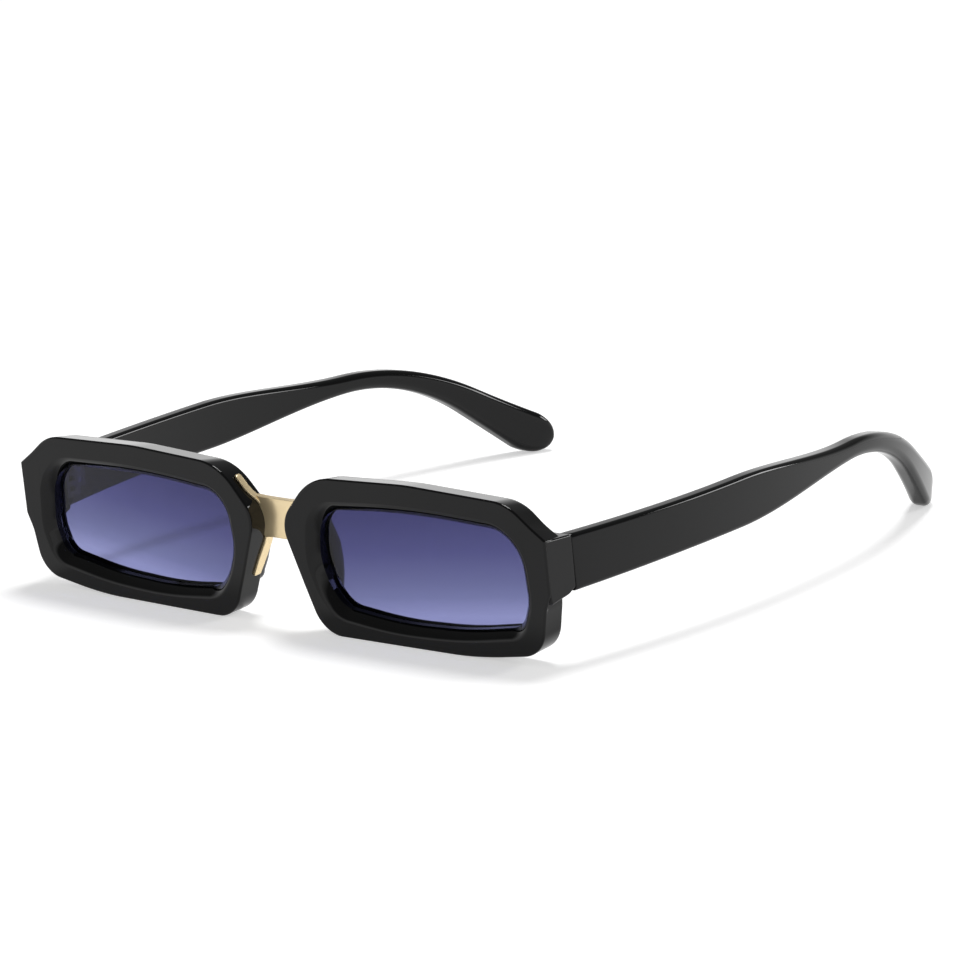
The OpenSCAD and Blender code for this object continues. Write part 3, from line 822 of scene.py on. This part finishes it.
def lensRings():
    edge, seat = lensSet["edge"], lensSet["seat"]
    front, back = lensSet["set"], lensSet["set"] + lensSet["thick"]
    rows = [(-edge, front), (-0.3 * edge, front + 0.3 * edge), (0, front + edge),
            (0, back - edge), (-0.3 * edge, back - 0.3 * edge), (-edge, back)]
    return [[placed(u, d, v) for u, v in rounded(grown(openingOutline, seat + reach))]
            for reach, d in rows]


for side in ("left", "right"):
    makePiece(f"tintedLens_{side}", lensRings(), False, tint, "front", side == "right",
              [f"lens_{side}"])
print("lenses made")


# Nose pads

padSet = {
    "reach": 4.2,       # behind the rim
    "high": 16,
    "radius": 2.3,
    "v": 15,            # its middle
    "u": 9.1,
    "sunk": 0.25,       # how far the base reaches into the rim's back
    "wideRound": 0.8,   # powers of its section: 1 is an ellipse, less is squarer
    "deepRound": 0.72,
    "rows": 34,
    "sides": 28,
}


def padRings():
    deep = rimDeep + padSet["reach"] - padSet["radius"]
    r, u0, v0, high = padSet["radius"], padSet["u"], padSet["v"], padSet["high"]
    # the pad's middle line from the top down: u, depth, v, radius
    spine = [
        (u0, deep, v0 + 0.4 * high, 0.8 * r),
        (u0 + 1.1, deep, v0 + 0.14 * high, r),
        (u0 + 1.4, deep, v0 - 0.1 * high, r),
        (u0 + 1.8, deep - 0.4, v0 - 0.26 * high, 0.91 * r),
        (u0 + 2.2, deep - 1.2, v0 - 0.4 * high, 0.82 * r),
    ]
    top, low = spine[0][2] + spine[0][3], spine[-1][2] - spine[-1][3]
    rings = []
    for i in range(padSet["rows"] + 1):
        t = i / padSet["rows"]
        v = mixed(top, low, (1 - math.cos(math.pi * t)) / 2)
        k = 0
        while k < len(spine) - 2 and v < spine[k + 1][2]:
            k += 1
        span = min(1, max(0, (spine[k][2] - v) / (spine[k][2] - spine[k + 1][2])))
        u, d, _, radius = (mixed(a, b, span) for a, b in zip(spine[k], spine[k + 1]))
        past = max(0, v - spine[0][2], spine[-1][2] - v)
        fade = math.sqrt(max(0.0004, 1 - (past / radius) ** 2))
        wide = radius * fade
        base = rimDeep - padSet["sunk"]
        tall = d + radius * fade - base
        ring = []
        for j in range(padSet["sides"]):
            a = 2 * math.pi * j / padSet["sides"]
            c, s = math.cos(a), math.sin(a)
            if s >= 0:
                ring.append(placed(u + wide * math.copysign(abs(c) ** padSet["wideRound"], c),
                                   base + tall * s ** padSet["deepRound"], v))
            else:
                ring.append(placed(u + wide * c, base, v))
        rings.append(ring)
    return rings


for side in ("left", "right"):
    makePiece(f"nosePad_{side}", padRings(), False, pad, "front", side == "right",
              [f"nose_pad_{side}"], sharp=60)
print("nose pads made")


# Bridge: a plate with four arms along the rims

bridgeSet = {
    "plateThick": 1.5,
    "plateHigh": 8.7,
    "plateV": 22.25,    # height of its middle
    "plateSet": 3.75,   # depth of its upper edge
    "plateSlant": 0.9,  # further depth of its lower edge
    "topArm": 1.4,
    "lowArm": 1.8,
    "armThick": 0.5,
    "armSet": 2.2,
    "armFootSet": 3.1,
    "armLow": 9,
    "armHigh": 30.6,
    "armPlay": 0.02,
    "sideWide": 12,     # width of the rim's outline, from the nose, that the arms may follow
    "sideSteps": 40,    # steps of each of its rounded corners
    "edge": 0.14,
    "edgeSteps": 4,
    "endLong": 0.55,    # length over which an arm's end is rounded
    "endWide": 0.55,    # shares of its width and thickness that stay there
    "endThick": 0.4,
    "blend": 0.35,      # steps of the mean that softens the arms' corners
    "rows": 90,
    "plateLap": 0.3,    # further drop of the plate's lower edge
    "topSag": 0.15,     # fall of its upper edge between the rims
    "flare": 0.4,       # fall of its lower edge into the arms
    "plateSteps": 28,
}
plateTop = bridgeSet["plateV"] + bridgeSet["plateHigh"] / 2
plateLow = bridgeSet["plateV"] - bridgeSet["plateHigh"] / 2


def armRow(v):
    # front edge and width of an arm at a height, from rows of both with their heights
    front, low, thick = bridgeSet["plateSet"], bridgeSet["armLow"], bridgeSet["plateThick"]
    slant, foot, wide = bridgeSet["plateSlant"], bridgeSet["armFootSet"], bridgeSet["lowArm"]
    rows = [
        (bridgeSet["armSet"], bridgeSet["topArm"], bridgeSet["armHigh"]),
        (bridgeSet["armSet"] + 0.2, bridgeSet["topArm"], plateTop + 0.7),
        (front + 0.1, thick, plateTop - 1.6),
        (front + slant, thick, plateLow),
        (front + slant + 0.3, wide + 0.5, plateLow - 0.8),
        (foot + 0.7, wide + 0.5, (plateLow + low) / 2 - 0.6),
        (foot, wide, low),
    ]
    k = 0
    while k < len(rows) - 2 and v < rows[k + 1][2]:
        k += 1
    t = (rows[k][2] - v) / (rows[k][2] - rows[k + 1][2])
    return mixed(rows[k][0], rows[k + 1][0], t), mixed(rows[k][1], rows[k + 1][1], t)


def noseSide(reach):
    # the outline beside the nose as a function from height to u
    line = rounded(grown(outerOutline, reach), bridgeSet["sideSteps"])
    near = rimIn + bridgeSet["sideWide"]
    side = sorted((v, u) for u, v in line if u < near and 1 < v < rimHigh - 0.8)

    def across(v):
        for (v0, u0), (v1, u1) in zip(side, side[1:]):
            if v <= v1:
                return mixed(u0, u1, (v - v0) / max(1e-6, v1 - v0))
        return side[-1][1]
    return across


def armRings():
    # the arms of one side, as sections from the top down
    inner = noseSide(bridgeSet["armPlay"])
    low, high, thick = bridgeSet["armLow"], bridgeSet["armHigh"], bridgeSet["armThick"]
    edge, arc = bridgeSet["edge"], quarter(bridgeSet["edgeSteps"])
    rings = []
    for i in range(bridgeSet["rows"] + 1):
        t = i / bridgeSet["rows"]
        v = mixed(high, low, (1 - math.cos(math.pi * t)) / 2)
        # a mean over a short stretch softens the corners of the arm's edges
        spots = [armRow(min(high, max(low, v + k * bridgeSet["blend"]))) for k in range(-3, 4)]
        front = sum(s[0] for s in spots) / len(spots)
        wide = sum(s[1] for s in spots) / len(spots)
        end = min(high - v, v - low)
        taper = math.sqrt(max(0.02, 1 - max(0, 1 - end / bridgeSet["endLong"]) ** 2))
        mid = front + wide / 2
        half = wide / 2 * mixed(bridgeSet["endWide"], 1, taper) * (1 if end > 0 else 0.97)
        deep = thick * mixed(bridgeSet["endThick"], 1, taper)
        du = (inner(v + 0.05) - inner(v - 0.05)) / 0.1
        across = Vector((-1, du)).normalized()      # away from the rim, in u and v
        u0 = inner(v)
        # the section: place along the depth, and out from the rim
        section = [(half - edge + edge * math.sin(a), deep - edge + edge * math.cos(a)) for a in arc]
        section += [(half, 0), (-half, 0)]
        section += [(-half + edge - edge * math.cos(a), deep - edge + edge * math.sin(a)) for a in arc]
        rings.append([placed(u0 + across.x * n, mid + d, v + across.y * n) for d, n in section])
    return rings


def plateRings():
    # the plate, as sections from the right rim to the left one
    reach = noseSide(bridgeSet["armPlay"] + 0.5 * bridgeSet["armThick"])
    thick, edge, steps = bridgeSet["plateThick"], bridgeSet["edge"], bridgeSet["plateSteps"]
    arc = quarter(bridgeSet["edgeSteps"])
    rings = []
    for i in range(steps + 1):
        t = 2 * i / steps - 1
        low = plateLow - bridgeSet["plateLap"] - bridgeSet["flare"] * abs(t) ** 8
        top = plateTop - bridgeSet["topSag"] * (1 - abs(t) ** 3)
        # the section's four rounded corners: height, and depth behind the plate's front
        section = [(top - edge + edge * math.sin(a), edge - edge * math.cos(a)) for a in arc]
        section += [(top - edge + edge * math.cos(a), thick - edge + edge * math.sin(a)) for a in arc]
        section += [(low + edge - edge * math.sin(a), thick - edge + edge * math.cos(a)) for a in arc]
        section += [(low + edge - edge * math.cos(a), edge - edge * math.sin(a)) for a in arc]
        ring = []
        for v, d in section:
            back = bridgeSet["plateSlant"] * (plateTop - v) / bridgeSet["plateHigh"]
            depth = bridgeSet["plateSet"] + back + d
            x = t * (reach(v) * math.cos(wrap) - depth * math.sin(wrap))
            y = depth * math.cos(lean) - v * math.sin(lean)
            z = depth * math.sin(lean) + v * math.cos(lean) - footDrop
            ring.append((x * mm, (y + shiftBack) * mm, z * mm))
        rings.append(ring)
    return rings


makePiece("bridgePlate", plateRings(), False, gold, "front", False, ["bridge"])
for side in ("left", "right"):
    makePiece(f"bridgeArms_{side}", armRings(), False, gold, "front", side == "right",
              ["bridge"], sharp=50)
print("bridge made")


# Temples

def templeRing(s, inset):
    # the rounded section at s, drawn in by an inset at the seam
    thick = templeThick(s)
    squeeze = thick * (1 - capScale(s, templeSet["capPinch"])) / 2 + inset
    high = templeHigh(s) - 2 * inset
    inner, outer = thick - squeeze, squeeze
    edge = mixed(templeSet["shaftEdge"], templeSet["tipEdge"], swell(s))
    r = min(edge, 0.45 * high, 0.45 * (inner - outer))
    ring = []
    steps = templeSet["edgeSteps"]
    # the four corners: up or down, in or out, and the angle at which each begins
    for ch, ci, start in ((1, 1, 90), (-1, 1, 0), (-1, -1, 270), (1, -1, 180)):
        for k in range(steps + 1):
            a = math.radians(start - 90 * k / steps)
            h = ch * (high / 2 - r) + r * math.sin(a)
            inward = (inner + outer) / 2 + ci * ((inner - outer) / 2 - r) + r * math.cos(a)
            ring.append(templePoint(s, h, inward))
    return ring


def templeRings():
    # sections from the seam to the tip, the last just short of the round end's point
    edge, cap = templeSet["rootEdge"], 0.998 * templeSet["capLong"]
    stations = [(edge * (1 - math.sin(a)), edge * (1 - math.cos(a)))
                for a in (math.pi / 2, 1.1, 0.6, 0)]
    stations += [(s, 0) for s in range(2, int(pathLong))]
    stations += [(pathLong + cap * math.sin(a), 0) for a in quarter(templeSet["capSteps"])]
    return [templeRing(s, inset) for s, inset in stations]


for side in ("left", "right"):
    makePiece(f"templeShaft_{side}", templeRings(), False, templeAcetate, f"temple_{side}_arm",
              side == "right", [f"temple_{side}"])
print("temples made")
